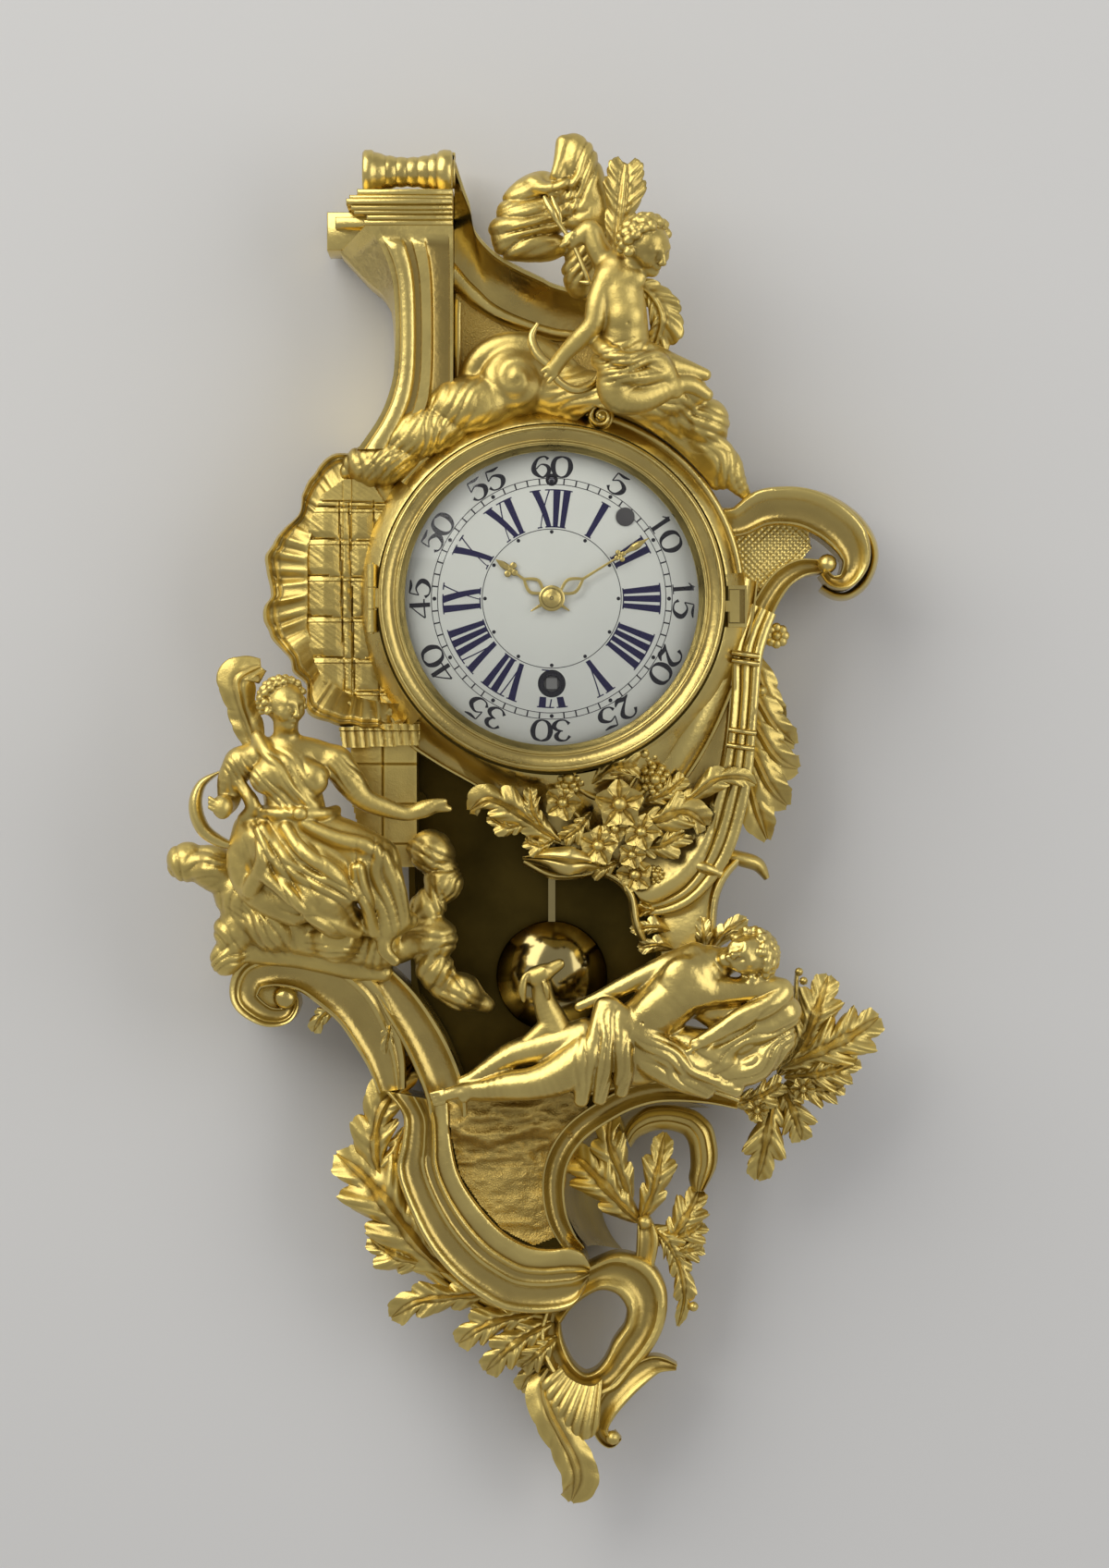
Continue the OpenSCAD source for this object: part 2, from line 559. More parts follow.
seated_limbs = [
  [[-171, -196, 26, 14], [-170, -214, 22, 8], [-168, -228, 20, 10]],
  [[-194, -231, 18, 9], [-172, -232, 20, 13], [-148, -231, 18, 9]],
  [[-168, -238, 20, 16], [-166, -254, 20, 16], [-166, -270, 18, 14], [-163, -286, 18, 20]],
  [[-195, -232, 18, 9], [-207, -264, 20, 8], [-214, -259, 26, 7]],
  [[-143, -233, 18, 9], [-126, -255, 18, 7.5], [-92, -271, 14, 5.5], [-75, -265, 10, 4.5]],
  [[-180, -290, 16, 16], [-150, -305, 22, 18], [-131, -314, 24, 15]],
  [[-150, -300, 16, 18], [-114, -308, 14, 14], [-102, -334, 10, 11], [-107, -360, 8, 6]],
  [[-180, -302, 12, 16], [-178, -320, 8, 13], [-158, -326, 8, 12], [-126, -336, 8, 12]],
  [[-107, -360, 8, 5], [-103, -371, 8, 4.5]],
  [[-190, -227, 10, 7], [-201, -196, 3, 10], [-207, -176, 3, 8]],
  [[-200, -198, 3, 8], [-188, -173, 3, 7]]];
module seated_figure() color(gilt) hang() ahead_of(seated_z) rolls(seated_z, seated_limbs);
module crescent() color(gilt) hang() translate(spot(-199, -262, seated_z))
  linear_extrude(7) difference() {
    circle(r = 31);
    translate([8, 5]) circle(r = 28);
    translate([2, 14]) square(40);
    translate([6, -40]) square([40, 60]);
  }
left_cloud_puffs = [[-234, -302, 11, 13], [-217, -305, 12, 14], [-206, -298, 14, 12],
  [-210, -333, 10, 12], [-207, -346, 9, 11], [-208, -364, 8, 9], [-187, -334, 12, 15],
  [-190, -312, 12, 18], [-164, -340, 12, 15], [-160, -318, 12, 16], [-139, -348, 12, 16],
  [-130, -318, 12, 18], [-118, -298, 10, 15], [-115, -345, 11, 13], [-95, -328, 10, 15],
  [-78, -296, 8, 14], [-72, -318, 8, 12], [-76, -333, 8, 12], [-76, -348, 9, 13],
  [-84, -364, 8, 11], [-80, -376, 8, 9], [-74, -386, 7, 10],
  [-56, -387, 7, 11], [-42, -393, 6, 7]];
module left_clouds() color(gilt) hang() difference() {
  between(left_cloud_z, left_cloud_top_z) puffs(left_cloud_z, left_cloud_puffs);
  bezel_cut();
  layer(0, arm_z + seat) offset(delta = seat) arm_outline();
}
left_scroll_path = [[-170, -397, 9], [-181, -401, 13], [-194, -395, 17], [-198, -383, 21],
  [-187, -372, 26], [-166, -371, 30], [-146, -378, 32], [-127, -392, 30], [-114, -412, 23],
  [-109, -432, 13], [-108, -445, 6]];
module left_scroll() color(gilt) hang() {
  moulding(left_scroll_path, pier_front_z - 40, pier_front_z, 0.6, 5);
  translate(spot(-174, -388, pier_front_z - 40)) cylinder(r = 6, h = 38);
}

// Lower cartouche
stile_out = [[-106, -452], [-95, -468], [-101, -503], [-92, -529], [-80, -552], [-64, -571],
             [-47, -584], [-30, -593], [-4, -595], [19, -588], [25, -566]];
stile_in = [[-70, -458], [-66, -479], [-61, -503], [-50, -522], [-33, -541], [-16, -551], [2, -554],
            [22, -554]];
arm_path = [[-103, -384, 8], [-87, -406, 16], [-74, -430, 14], [-70, -464, 8]];
arm_z = box_depth + 14;
module arm_outline() polygon(band(curve(laid(arm_path))));
module lower_stile() color(gilt) hang() {
  layer(lower_z, stile_z)
    polygon(flat(concat(curve(laid(stile_out)), backwards(curve(laid(stile_in))))));
  layer(box_depth, arm_z) arm_outline();
}
rock_edge = [[-61, -458], [-14, -456], [-9, -480], [-9, -492], [-13, -512], [-10, -532], [-5, -546],
             [-20, -541], [-36, -529], [-49, -511], [-56, -488], [-61, -472]];
ledge_edge = [[-60, -458], [-14, -456], [-12, -475], [-57, -479]];
module rock_panel() color(gilt) hang() {
  layer(lower_z, lower_z + 8) polygon(flat(laid(rock_edge)));
  layer(lower_z + 8, lower_z + 16) polygon(flat(laid(ledge_edge)));
}
arch_path = [[116, -457, 7], [95, -450, 10], [70, -447, 12], [48, -452, 12], [26, -464, 13],
             [9, -481, 14], [0, -503, 13], [0, -528, 12], [6, -544, 9], [14, -548, 5]];
module arch_moulding() color(gilt) hang() moulding(arch_path, lower_z, arch_z, 0.55, 5);
sleeper_limbs = [
  [[134, -359, 24, 14], [112, -371, 20, 9]],
  [[100, -374, 20, 16], [80, -388, 20, 18], [58, -401, 18, 17], [38, -412, 16, 17]],
  [[92, -362, 12, 8], [60, -373, 8, 7], [30, -387, 6, 5]],
  [[108, -381, 24, 9], [150, -382, 18, 8], [130, -406, 20, 6]],
  [[34, -415, 20, 15], [0, -432, 24, 12], [-30, -441, 16, 8.5], [-56, -447, 8, 6.5], [-76, -452, 5, 5]],
  [[10, -413, 8, 11], [-22, -424, 7, 9], [-50, -441, 5, 6]],
  [[30, -400, 18, 10], [32, -452, 10, 8]],
  [[60, -410, 16, 11], [64, -443, 10, 8]],
  [[150, -392, 10, 9], [120, -430, 12, 15], [88, -436, 10, 9]],
  [[142, -438, 8, 9], [112, -448, 8, 9]]];
module sleeping_figure() color(gilt) hang() ahead_of(sleeper_z) rolls(sleeper_z, sleeper_limbs);
hound_rolls = [
  [[-3, -374, 14, 7], [6, -365, 14, 4]],
  [[-3, -374, 14, 7], [-5, -390, 14, 8], [2, -404, 14, 11], [-4, -416, 14, 10], [-27, -427, 14, 5]],
  [[-12, -376, 15, 4], [-19, -381, 15, 3]],
  [[2, -404, 14, 11], [28, -408, 14, 12]],
  [[-4, -416, 14, 9], [14, -424, 14, 8]]];
module hound() color(gilt) hang() between(box_depth + 5, arch_z) rolls(box_depth, hound_rolls);

// Leaves and openwork below
right_spines = [
  [[140, -436, 2, 4], [164, -410, 2, 13], [176, -388, 0, 8], [180, -377, -2, 2]],
  [[142, -440, 0, 4], [180, -424, 0, 14], [204, -412, -2, 8], [213, -405, -3, 2]],
  [[140, -443, 2, 4], [172, -440, 1, 10], [198, -432, -3, 2]],
  [[138, -446, 0, 4], [164, -458, -1, 12], [182, -452, -3, 6], [190, -447, -4, 2]],
  [[134, -447, 2, 4], [144, -468, 1, 10], [162, -481, -3, 2]],
  [[130, -448, 0, 4], [134, -478, -1, 10], [136, -507, -3, 2]]];
leaf_step = 8;
right_stem = [[117.6, -457.6, 5], [130, -451, 8], [142, -440, 8], [149, -426, 6]];
module right_acanthus() color(gilt) hang() {
  stem(right_stem, arch_z - 18, arch_z);
  for (i = [0:len(right_spines) - 1])
    leaf(right_spines[i], arch_z - 3.8 - (i % 2) * leaf_step);
}
left_stem = [[-89, -478, 6], [-93, -505, 7], [-85, -534, 7], [-70, -557, 7], [-50, -572, 7],
             [-30, -580, 7], [-14, -581, 6]];
left_spines = [
  [[-92, -502, 2, 4], [-106, -478, 1, 10], [-101, -450, 0, 7], [-90, -433, -2, 2]],
  [[-92, -497, -7, 4], [-112, -484, -8, 10], [-122, -472, -9, 5], [-127, -474, -10, 2]],
  [[-90, -484, -12, 4], [-104, -500, -16, 8], [-109, -517, -17, 2]],
  [[-72, -556, 2, 4], [-106, -544, 1, 15], [-128, -520, 0, 11], [-139, -500, -2, 2]],
  [[-66, -562, -7, 4], [-90, -584, -8, 9], [-103, -599, -10, 2]],
  [[-55, -570, 2, 4], [-74, -592, 0, 8], [-92, -601, -2, 2]],
  [[-44, -575, -7, 4], [-52, -600, -8, 8], [-59, -613, -10, 2]],
  [[-30, -580, 2, 4], [-40, -612, 0, 9], [-43, -632, -2, 2]],
  [[-18, -581, -7, 4], [-23, -612, -8, 8], [-25, -631, -10, 2]]];
module left_acanthus() color(gilt) hang() {
  stem(left_stem, lower_z - 18, lower_z - seat);
  for (points = left_spines) leaf(points, lower_z - 4);
}
c_scroll_path = [[50, -484, 6], [56, -475, 11], [68, -469, 14], [82, -470, 15], [95, -479, 15],
                 [100, -495, 14], [97, -511, 9], [92, -519, 5]];
open_spines = [
  [[60, -536, -5, 5], [44, -514, -4, 12], [26, -500, -5, 9], [13, -494, -7, 3]],
  [[60, -528, -8, 5], [44, -500, -6, 9], [36, -478, -2, 7], [33, -464, 0.6, 3]],
  [[62, -534, -13, 5], [68, -508, -13, 6], [73, -480, -14, 4]],
  [[94, -514, -6, 4], [89, -540, -5, 11], [88, -572, -6, 8], [83, -603, -8, 3]],
  [[88, -544, -7, 5], [74, -541, -8, 6], [60, -537, -7, 5]],
  [[61, -530, -9, 5], [64, -545, -8, 10], [63, -558, -9, 5]]];
module openwork() color(gilt) hang() {
  moulding(c_scroll_path, lower_z - 26, lower_z - seat, 0.5, 4);
  for (points = open_spines) leaf(points, lower_z - 2);
}
loop_path = [[14, -582, 8], [28, -570, 15], [46, -569, 23], [60, -578, 26], [64, -598, 26],
             [60, -615, 24], [49, -630, 22], [36, -645, 20], [28, -661, 14], [31, -675, 9],
             [41, -681, 5]];
strand_path = [[-2, -592, 8], [-6, -612, 10], [2, -634, 13], [14, -650, 13], [24, -658, 9]];
curl_path = [[79, -633, 5], [66, -632, 8], [52, -640, 9]];
tail_spine = [[6, -650, 0, 9], [-4, -664, 0, 13], [8, -695, 0, 13], [13, -719, -4, 2]];
tail_fan = [[14, -648, -12, 4], [18, -668, -12, 11], [22, -696, -12, 8], [18, -716, -14, 2]];
module loop_scroll() color(gilt) hang() {
  moulding(loop_path, lower_z - 32, lower_z - seat, 0.5, 4);
  moulding(strand_path, lower_z - 32, lower_z - seat, 0.5, 4);
  moulding(curl_path, lower_z - 28, lower_z - 8, 0.5, 4);
  leaf(tail_spine, lower_z - 12);
  leaf(tail_fan, lower_z - 12);
}

// Dial, bezel and hands. Places here are measured from the dial centre.
barrel_drop = 55;
regulator_rise = 77;
regulator_hole_r = 4;
centre_hole_r = 6;
plug_at = [47.6, 53];
dome_r = (dial_r * dial_r + dial_rise * dial_rise) / (2 * dial_rise);
function dome_z(r) = dial_seat_z + dial_rise - dome_r + sqrt(dome_r * dome_r - r * r);
dome_steps = 12;
dome_profile = [for (i = [0:dome_steps]) let (r = dial_r * i / dome_steps) [r, dome_z(r)]];
module dial() color("ivory") hang() from_dial() difference() {
  rotate_extrude() polygon(concat(dome_profile,
    [for (q = backwards(dome_profile)) [q[0], q[1] + dial_t]]));
  cylinder(r = centre_hole_r, h = 2 * front_z);
  translate([0, -barrel_drop, 0]) cylinder(r = winding_hole_r, h = 2 * front_z);
  translate([0, regulator_rise, 0]) cylinder(r = regulator_hole_r, h = 2 * front_z);
  translate([plug_at[0], plug_at[1], 0]) cylinder(r = plug_r + run, h = 2 * front_z);
}
module dial_plug() color("gray") hang() from_dial()
  translate([plug_at[0], plug_at[1], dome_z(norm(plug_at)) - 1]) cylinder(r = plug_r, h = dial_t + 2.4);

bezel_z = front_z + 0.5;
glass_seat = 6;
ring_t = glass_seat - glass_t - seat;
module bezel() color(gilt) hang() {
  from_dial() difference() {
    union() {
      rotate_extrude() translate([0, bezel_z]) polygon([
        [glass_r + seat, 0], [bezel_r, 0], [bezel_r, 5], [bezel_r - 2.5, 8], [bezel_r - 5, 9],
        [bezel_r - 7, 13], [bezel_r - 10.5, bezel_h], [sight_r + 3, bezel_h - 1],
        [sight_r, bezel_h - 5], [sight_r, glass_seat], [glass_r + seat, glass_seat]]);
      knuckle(0);
      translate([hinge_x, -knuckle_l / 2, bezel_z]) cube([knuckle_r + 4, knuckle_l, 5]);
    }
    hinge_bore();
  }
  from_dial() translate([0, 0, bezel_z + seat]) difference() {
    cylinder(r = glass_r, h = ring_t);
    translate([0, 0, -1]) cylinder(r = sight_r - 1, h = ring_t + 2);
  }
}
dome_edge_r = sight_r - 0.5;
glass_dome_r = (dome_edge_r * dome_edge_r + glass_rise * glass_rise) / (2 * glass_rise);
module glass() color("lightblue", 0.3) hang() from_dial() translate([0, 0, bezel_z + glass_seat]) {
  difference() {
    intersection() {
      translate([0, 0, glass_rise - glass_dome_r]) sphere(r = glass_dome_r);
      translate([0, 0, -glass_t]) cylinder(r = dome_edge_r, h = glass_rise + 2 * glass_t);
    }
    translate([0, 0, glass_rise - glass_dome_r]) sphere(r = glass_dome_r - glass_t);
  }
  translate([0, 0, -glass_t]) difference() {
    cylinder(r = glass_r, h = glass_t);
    translate([0, 0, -1]) cylinder(r = dome_edge_r - 1.5, h = glass_t + 2);
  }
}
// Hinge at the left of the bezel
hinge_x = -(bezel_r + knuckle_r + 0.8);
hinge_z = front_z + 3.5;
knuckle_gap = 0.3;
knuckle_l = hinge_l / 3 - knuckle_gap;
module knuckle(i) translate([hinge_x, i * hinge_l / 3 - knuckle_l / 2, hinge_z]) rotate([-90, 0, 0])
  cylinder(r = knuckle_r, h = knuckle_l);
module hinge_bore() translate([hinge_x, -hinge_l, hinge_z]) rotate([-90, 0, 0])
  cylinder(r = hinge_pin_r + run, h = 2 * hinge_l);
module hinge_leaf() color(gilt) hang() from_dial() {
  difference() {
    for (i = [-1, 1]) {
      knuckle(i);
      translate([hinge_x - knuckle_r, i * hinge_l / 3 - knuckle_l / 2, ashlar_z])
        cube([knuckle_r + 2, knuckle_l, hinge_z - ashlar_z]);
    }
    hinge_bore();
  }
  translate([hinge_x, -hinge_l / 2 - 1, hinge_z]) rotate([-90, 0, 0])
    cylinder(r = hinge_pin_r, h = hinge_l + 2);
}
// Spring catch at the right of the bezel
catch_h = 21;
catch_w = 8;
catch_drop = 5;
catch_x = surround_r + seat;
housing_w = catch_w + catch_travel + 1.5;
catch_tip_x = bezel_r + 0.4;
catch_body_x = catch_x + 0.8;
module catch_outline() translate([catch_x, -dial_drop - catch_drop - catch_h / 2 - 3])
  square([housing_w, catch_h + 6]);
module catch_housing() color(gilt) hang() difference() {
  layer(crest_panel_z, front_z) catch_outline();
  translate([catch_body_x - clear, -dial_drop - catch_drop - catch_h / 2 - clear, front_z - 5])
    cube([catch_w + catch_travel, catch_h + 2 * clear, 10]);
}
catch_body_w = catch_w - clear - 1;
module catch() color("darkgoldenrod") hang() translate([0, -dial_drop - catch_drop, 0]) {
  translate([catch_body_x, -catch_h / 2, front_z - 5 + seat]) cube([catch_body_w, catch_h, 7]);
  translate([catch_tip_x, -catch_h / 6, front_z + seat])
    cube([catch_body_x - catch_tip_x + 1, catch_h / 3, 3]);
}

// Movement
inner_z = movement_z + plate_t;
top_z = inner_z + plate_gap;
plate_front_z = top_z + plate_t;
great_teeth = 72;
wheel_teeth = 72;
intermediate_leaves = 12;
pinion_leaves = 8;
escape_leaves = 6;
cannon_leaves = 12;
motion_teeth = 36;
motion_leaves = 10;
hour_teeth = 40;
escape_teeth = 30;
escape_rise = 41;
pallet_rise = 67;
function mesh(a, b, m) = (a + b) * m / 2;
// The point at distances ra from the origin and rb from [0, y], on the side given
function meet(ra, rb, y, hand) =
  let (v = (ra * ra + y * y - rb * rb) / (2 * y)) [hand * sqrt(ra * ra - v * v), v];
intermediate_at = meet(mesh(wheel_teeth, pinion_leaves, intermediate_module),
  mesh(great_teeth, intermediate_leaves, great_module), -barrel_drop, -1);
third_at = meet(mesh(wheel_teeth, pinion_leaves, centre_module),
  mesh(wheel_teeth, escape_leaves, third_module), escape_rise, 1);
motion_reach = mesh(motion_teeth, cannon_leaves, motion_module);
motion_at = [-motion_reach, 0];
hour_module = 2 * motion_reach / (motion_leaves + hour_teeth);
function towards(a, b) = atan2(b[1] - a[1], b[0] - a[0]);

// A slim clock tooth: radii and half widths in shares of the pitch
function tooth(teeth, m, add, ded, thick, tip, a) =
  let (r = teeth * m / 2, half = 180 / teeth * thick,
       steps = [[r - ded * m, half], [r, half], [r + add * m, half * tip]])
  concat([for (s = steps) s[0] * [cos(a - s[1]), sin(a - s[1])]],
         [for (s = backwards(steps)) s[0] * [cos(a + s[1]), sin(a + s[1])]]);
function wheel_edge(teeth, m) =
  [for (i = [0:teeth - 1]) each tooth(teeth, m, 0.9, 1.2, 0.42, 0.35, 360 * i / teeth)];
function pinion_edge(leaves, m) =
  [for (i = [0:leaves - 1]) each tooth(leaves, m, 0.55, 1.15, 0.30, 0.5, 360 * i / leaves)];
module crossed_wheel(teeth, m, t, hub_r, bore_r, arms = 4) linear_extrude(t) difference() {
  polygon(wheel_edge(teeth, m));
  rim = teeth * m / 2 - 4 * m;
  if (rim - hub_r > 3) difference() {
    circle(r = rim);
    circle(r = hub_r);
    for (i = [0:arms - 1]) rotate(360 * i / arms + 20) translate([0, -1.25]) square([rim + 1, 2.5]);
  }
  circle(r = bore_r);
}
module pinion(leaves, m, t, bore_r) linear_extrude(t) difference() {
  polygon(pinion_edge(leaves, m));
  circle(r = bore_r);
}
// An arbor with a pivot at each end, in the plates
module arbor(r = arbor_r) {
  translate([0, 0, inner_z + seat]) cylinder(r = r, h = plate_gap - 2 * seat);
  translate([0, 0, movement_z + seat]) cylinder(r = pivot_r, h = plate_front_z - movement_z - 2 * seat);
}
module at(p) translate([p[0], p[1], 0]) children();
module up(z) translate([0, 0, z]) children();

plate_edge = [[-50, -82], [50, -82], [50, 60], [32, 87], [-32, 87], [-50, 60]];
post_spots = [[-42, -72], [42, -72], [-27, 79], [27, 79]];
post_r = 4;
barrel_pivot_r = 5;
regulator_r = 2;
centre_front_r = 1.3;
stud_r = 1.2;
click_at = [21, -44];
spring_at = [36, -52];
module plate_holes() {
  at([0, -barrel_drop]) cylinder(r = barrel_pivot_r + run, h = 2 * front_z);
  for (p = [intermediate_at, third_at, [0, escape_rise]]) at(p)
    cylinder(r = pivot_r + run, h = 2 * front_z);
  at([0, regulator_rise]) cylinder(r = regulator_r + run, h = 2 * front_z);
}
module movement_back_plate() color(brass) hang() from_dial() difference() {
  layer(movement_z, inner_z) polygon(plate_edge);
  plate_holes();
  cylinder(r = pivot_r + run, h = 2 * front_z);
  at([0, pallet_rise]) cylinder(r = arbor_r + clear, h = 2 * front_z);
}
module movement_front_plate() color(brass) hang() from_dial() {
  difference() {
    union() {
      layer(top_z, plate_front_z) polygon(plate_edge);
      at(motion_at) up(top_z) cylinder(r = stud_r, h = plate_t + 7);
      at(click_at) up(top_z) cylinder(r = stud_r, h = plate_t + 4);
    }
    plate_holes();
    cylinder(r = centre_front_r + run, h = 2 * front_z);
    at([0, pallet_rise]) cylinder(r = pivot_r + run, h = 2 * front_z);
  }
  at(spring_at) up(plate_front_z) linear_extrude(3)
    polygon(band(curve([[0, -8, 3], [1, 2, 1.2], [-3, 12, 1], [-8, 17, 0.8]])));
}
module movement_pillars() color(brass) hang() from_dial() for (p = post_spots) at(p) {
  up(back_t) cylinder(r = post_r, h = movement_z - back_t);
  up(inner_z) cylinder(r = post_r, h = plate_gap);
  up(plate_front_z) cylinder(r = post_r - 0.5, h = 2);
}

// Going train
great_z = inner_z + 27;
great_t = 3;
drum_t = 22;
barrel_r = 30;
barrel_wall = 1.5;
spring_r = barrel_r - barrel_wall - clear;
spring_turns = 7;
module barrel() color(brass) hang() from_dial() at([0, -barrel_drop]) {
  phase = towards([0, -barrel_drop], intermediate_at);
  up(great_z) rotate(phase) linear_extrude(great_t) difference() {
    polygon(wheel_edge(great_teeth, great_module));
    circle(r = barrel_pivot_r + run);
  }
  up(great_z - drum_t) difference() {
    cylinder(r = barrel_r, h = drum_t);
    translate([0, 0, barrel_wall]) cylinder(r = barrel_r - barrel_wall, h = drum_t);
    translate([0, 0, -1]) cylinder(r = barrel_pivot_r + run, h = drum_t);
  }
  up(great_z - drum_t + barrel_wall + clear) linear_extrude(drum_t - barrel_wall - 2 * clear)
    polygon(band(spiral([0, 0], spring_r - 1, barrel_pivot_r + 3, 0, 360 * spring_turns, 1, 1,
                        24 * spring_turns)));
}
square_w = 7;
ratchet_z = plate_front_z + 1;
ratchet_r = 13;
ratchet_teeth = 24;
module barrel_arbor() color(steel) hang() from_dial() at([0, -barrel_drop]) {
  up(movement_z + seat) cylinder(r = barrel_pivot_r, h = ratchet_z + 4 - movement_z - seat);
  up(ratchet_z + 4) translate([-square_w / 2, -square_w / 2, 0])
    cube([square_w, square_w, dome_z(barrel_drop) + dial_t - ratchet_z - 4]);
  up(ratchet_z) linear_extrude(2.5)
    polygon([for (i = [0:ratchet_teeth - 1]) let (a = 360 * i / ratchet_teeth)
      each [ratchet_r * [cos(a), sin(a)], (ratchet_r - 1.8) * [cos(a), sin(a)]]]);
}
module click() color(steel) hang() from_dial() at(click_at) up(ratchet_z) {
  reach = norm(click_at - [0, -barrel_drop]) - ratchet_r - 0.4;
  rotate(towards(click_at, [0, -barrel_drop])) linear_extrude(2.5) difference() {
    union() {
      circle(r = 3.4);
      polygon([[0, -3], [reach, -1], [reach, 1], [0, 3]]);
    }
    circle(r = stud_r + run);
  }
}
wheel_t = 2;
module intermediate_wheel() color(brass) hang() from_dial() at(intermediate_at) {
  arbor();
  back = towards([0, -barrel_drop], intermediate_at);
  up(great_z - 1) rotate(back + 180 + 180 / intermediate_leaves)
    pinion(intermediate_leaves, great_module, great_t + 2, 0.5);
  up(inner_z + 36) rotate(towards(intermediate_at, [0, 0]))
    crossed_wheel(wheel_teeth, intermediate_module, wheel_t, 6, 0.5);
}
centre_wheel_z = inner_z + 17;
module centre_wheel() color(brass) hang() from_dial() {
  arbor();
  up(inner_z + 33.5) rotate(towards(intermediate_at, [0, 0]) + 180 + 180 / pinion_leaves)
    pinion(pinion_leaves, intermediate_module, 5, 0.5);
  up(centre_wheel_z) rotate(towards([0, 0], third_at))
    crossed_wheel(wheel_teeth, centre_module, wheel_t, 5, 0.5);
  up(top_z) cylinder(r = centre_front_r, h = collet_z + 2 - top_z);
}
third_wheel_z = inner_z + 7;
module third_wheel() color(brass) hang() from_dial() at(third_at) {
  arbor();
  up(centre_wheel_z - 1.5) rotate(towards([0, 0], third_at) + 180 + 180 / pinion_leaves)
    pinion(pinion_leaves, centre_module, wheel_t + 3, 0.5);
  up(third_wheel_z) rotate(towards(third_at, [0, escape_rise]))
    crossed_wheel(wheel_teeth, third_module, wheel_t, 5, 0.5);
}
escape_z = inner_z + 13;
module escape_wheel() color(brass) hang() from_dial() at([0, escape_rise]) {
  arbor(1);
  up(third_wheel_z - 1) rotate(towards(third_at, [0, escape_rise]) + 180 + 180 / escape_leaves)
    pinion(escape_leaves, third_module, wheel_t + 2, 0.5);
  up(escape_z) linear_extrude(wheel_t) difference() {
    polygon([for (i = [0:escape_teeth - 1]) let (a = 360 * i / escape_teeth)
      each [(escape_r - 3) * [cos(a - 5), sin(a - 5)], escape_r * [cos(a), sin(a)],
            escape_r * [cos(a + 0.6), sin(a + 0.6)], (escape_r - 3) * [cos(a + 2), sin(a + 2)]]]);
    difference() {
      circle(r = escape_r - 5);
      circle(r = 4);
      for (i = [0:3]) rotate(90 * i) translate([0, -1]) square([escape_r, 2]);
    }
    circle(r = 0.5);
  }
}
pendulum_z = 21;
cock_z = movement_z - 11;
cock_t = 3;
crutch_z = movement_z - 5;
crutch_drop = 40;
pallet_r = escape_r + 2.2;
pallet_angle = 50;
module anchor() color(steel) hang() from_dial() at([0, pallet_rise]) {
  up(cock_z + seat) cylinder(r = pivot_r, h = plate_front_z - cock_z - 2 * seat);
  up(cock_z + cock_t + seat) cylinder(r = arbor_r, h = top_z - cock_z - cock_t - 2 * seat);
  tip = pallet_r * [sin(pallet_angle), cos(pallet_angle)] - [0, pallet_rise - escape_rise];
  up(escape_z) linear_extrude(wheel_t) union() {
    circle(r = 4);
    for (s = [-1, 1]) polygon([[0, 3], [s * (tip[0] + 3), tip[1] + 5], [s * (tip[0] + 3), tip[1] + 1],
                               [s * tip[0], tip[1]], [s * (tip[0] - 1), tip[1] + 3], [0, -3]]);
  }
  up(crutch_z) linear_extrude(2) union() {
    circle(r = 3.5);
    translate([-1.5, -crutch_drop]) square([3, crutch_drop]);
    translate([-fork_w, -crutch_drop - 2]) square([2 * fork_w, 4]);
  }
  for (s = [-1, 1]) translate([s > 0 ? fork_w - 1.4 : -fork_w, -crutch_drop - 2, pendulum_z - rod_t])
    cube([1.4, 4, crutch_z + 1 - pendulum_z + rod_t]);
}
fork_w = rod_w / 2 + seat + 1.4;
module back_cock() color(brass) hang() from_dial() difference() {
  union() {
    layer(cock_z, cock_z + cock_t) polygon([[-19, 76], [-19, 86], [19, 86], [19, 76], [8, 60], [-8, 60]]);
    for (s = [-1, 1]) at([s * 15, 81]) up(cock_z) cylinder(r = 3.5, h = movement_z - cock_z);
  }
  at([0, pallet_rise]) cylinder(r = pivot_r + run, h = front_z);
  at([0, regulator_rise]) cylinder(r = regulator_r + run, h = front_z);
}
silk_r = 0.5;
silk_half = 3.5;
silk_end = silk_half + silk_r + 0.3;
hook_drop = 6;
module suspension_silk() color("olive") hang() from_dial() {
  bottom = pallet_rise - hook_drop;
  for (s = [-1, 1]) at([0, bottom]) up(pendulum_z + s * silk_half) rotate([-90, 0, 0])
    cylinder(r = silk_r, h = regulator_rise - bottom - regulator_r - seat);
  at([0, bottom]) up(pendulum_z - silk_end) cylinder(r = silk_r + 0.2, h = 2 * silk_end);
  at([0, regulator_rise]) up(pendulum_z - silk_end) difference() {
    cylinder(r = regulator_r + 1, h = 2 * silk_end);
    translate([0, 0, -1]) cylinder(r = regulator_r + run, h = 2 * silk_end + 2);
  }
}
module regulator_arbor() color(steel) hang() from_dial() at([0, regulator_rise]) {
  end_z = dome_z(regulator_rise) + dial_t;
  up(pendulum_z - silk_end - 1) cylinder(r = regulator_r, h = end_z - 4 - pendulum_z + silk_end + 1);
  up(end_z - 4) translate([-1.3, -1.3, 0]) cube([2.6, 2.6, 4]);
}
bob_drop = pendulum_l - pallet_rise;
module pendulum_rod() color(brass) hang() from_dial() difference() {
  translate([-rod_w / 2, -bob_drop, pendulum_z - rod_t / 2])
    cube([rod_w, pendulum_l - hook_drop + 3, rod_t]);
  at([0, pallet_rise - hook_drop]) cylinder(r = silk_r + 1, h = front_z);
}
bob_lens_r = (bob_r * bob_r + bob_t * bob_t / 4) / bob_t;
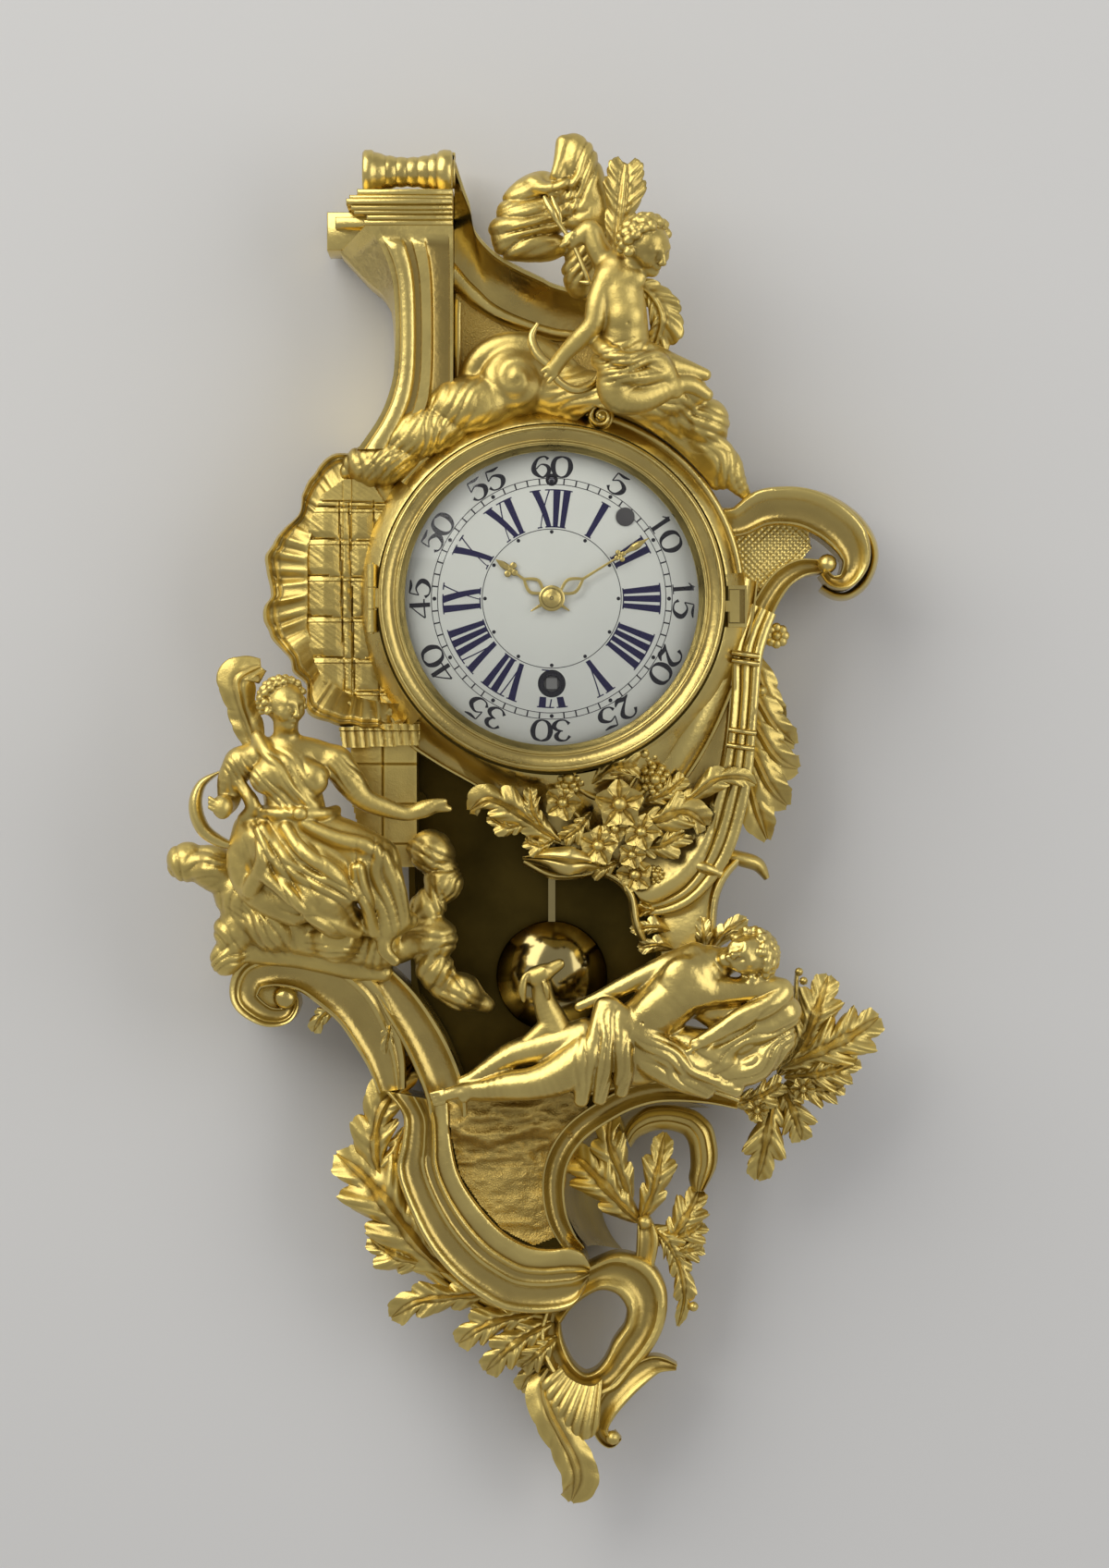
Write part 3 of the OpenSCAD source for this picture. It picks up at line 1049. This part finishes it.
module pendulum_bob() color(gilt) hang() from_dial() translate([0, -bob_drop, pendulum_z]) difference() {
  intersection() {
    translate([0, 0, bob_lens_r - bob_t / 2]) sphere(r = bob_lens_r);
    translate([0, 0, bob_t / 2 - bob_lens_r]) sphere(r = bob_lens_r);
    cylinder(r = bob_r - 0.5, h = bob_t, center = true);
  }
  translate([-rod_w / 2 - run, -run, -rod_t / 2 - run])
    cube([rod_w + 2 * run, 2 * bob_r, rod_t + 2 * run]);
}

// Motion work and hands
cannon_r = 2.4;
hour_pipe_r = 3.6;
motion_z = plate_front_z + 1;
hour_wheel_z = motion_z + 3.2;
hour_hand_z = dial_seat_z + dial_rise + dial_t + 1.3;
minute_hand_z = hour_hand_z + hand_t + 2;
collet_z = minute_hand_z + hand_t;
collet_r = 8;
minute_angle = minute_at_rest * 6;
hour_angle = (hour_at_rest + minute_at_rest / 60) * 30;
module cannon_pinion() color(brass) hang() from_dial() {
  up(motion_z) rotate(towards(motion_at, [0, 0]) + 180 + 180 / cannon_leaves)
    pinion(cannon_leaves, motion_module, 2.4, centre_front_r + run);
  up(motion_z) difference() {
    cylinder(r = cannon_r, h = minute_hand_z + hand_t - motion_z);
    translate([0, 0, -1]) cylinder(r = centre_front_r + run, h = front_z);
  }
}
module motion_wheel() color(brass) hang() from_dial() at(motion_at) {
  up(motion_z + 0.2) linear_extrude(2) difference() {
    polygon(wheel_edge(motion_teeth, motion_module));
    circle(r = stud_r + run);
  }
  up(motion_z + 2.2) pinion(motion_leaves, hour_module, 3.2, stud_r + run);
}
module hour_wheel() color(brass) hang() from_dial() up(hour_wheel_z) difference() {
  union() {
    rotate(towards([0, 0], motion_at) + 180 / hour_teeth) linear_extrude(1.6)
      polygon(wheel_edge(hour_teeth, hour_module));
    cylinder(r = hour_pipe_r, h = hour_hand_z + hand_t - hour_wheel_z);
  }
  translate([0, 0, -1]) cylinder(r = cannon_r + run, h = front_z);
}
// A pierced hand pointing to twelve: loops [distance, radius, ring width] along a stem
module hand(length, loops, boss_r, bore_r, stem_w) linear_extrude(hand_t) difference() {
  union() {
    circle(r = boss_r);
    translate([-stem_w / 2, 0]) square([stem_w, length - 8]);
    for (q = loops) translate([0, q[0]]) circle(r = q[1]);
    polygon([[-2.6, length - 9], [0, length], [2.6, length - 9], [0, length - 12]]);
  }
  for (q = loops) translate([0, q[0]]) circle(r = q[1] - q[2]);
  circle(r = bore_r);
}
module hour_hand() color("gold") hang() from_dial() up(hour_hand_z) rotate(-hour_angle)
  hand(hour_hand_l, [[14, 5, 1.5], [23.4, 5.5, 1.5], [32, 4, 1.5]], 7, hour_pipe_r + run, 2.4);
module minute_hand() color("gold") hang() from_dial() {
  up(minute_hand_z) rotate(-minute_angle)
    hand(minute_hand_l, [[14, 4, 1.3], [24, 4.5, 1.3], [44, 3, 1.2], [58, 4, 1.3]], 6.5, cannon_r + run, 2);
  up(collet_z) difference() {
    cylinder(r = collet_r, h = 2);
    translate([0, 0, -1]) cylinder(r = centre_front_r + run, h = 5);
  }
}

back_plate();
case_shell();
lower_case();
case_screws();
pilaster();
pilaster_scroll();
crest();
top_clouds();
winged_child();
child_drapery();
bow_and_arrow();
dial_surround();
side_scroll();
right_stile();
palm_leaves();
apron();
flower_swag();
shell_border();
ashlar_panel();
seated_figure();
crescent();
left_clouds();
left_scroll();
lower_stile();
rock_panel();
arch_moulding();
sleeping_figure();
hound();
right_acanthus();
openwork();
loop_scroll();
left_acanthus();
dial();
dial_plug();
movement_back_plate();
movement_front_plate();
movement_pillars();
back_cock();
suspension_silk();
hinge_leaf();
regulator_arbor();
catch_housing();
bezel();
glass();
catch();
minute_hand();
cannon_pinion();
hour_hand();
hour_wheel();
motion_wheel();
barrel();
barrel_arbor();
click();
intermediate_wheel();
centre_wheel();
third_wheel();
escape_wheel();
anchor();
pendulum_rod();
pendulum_bob();
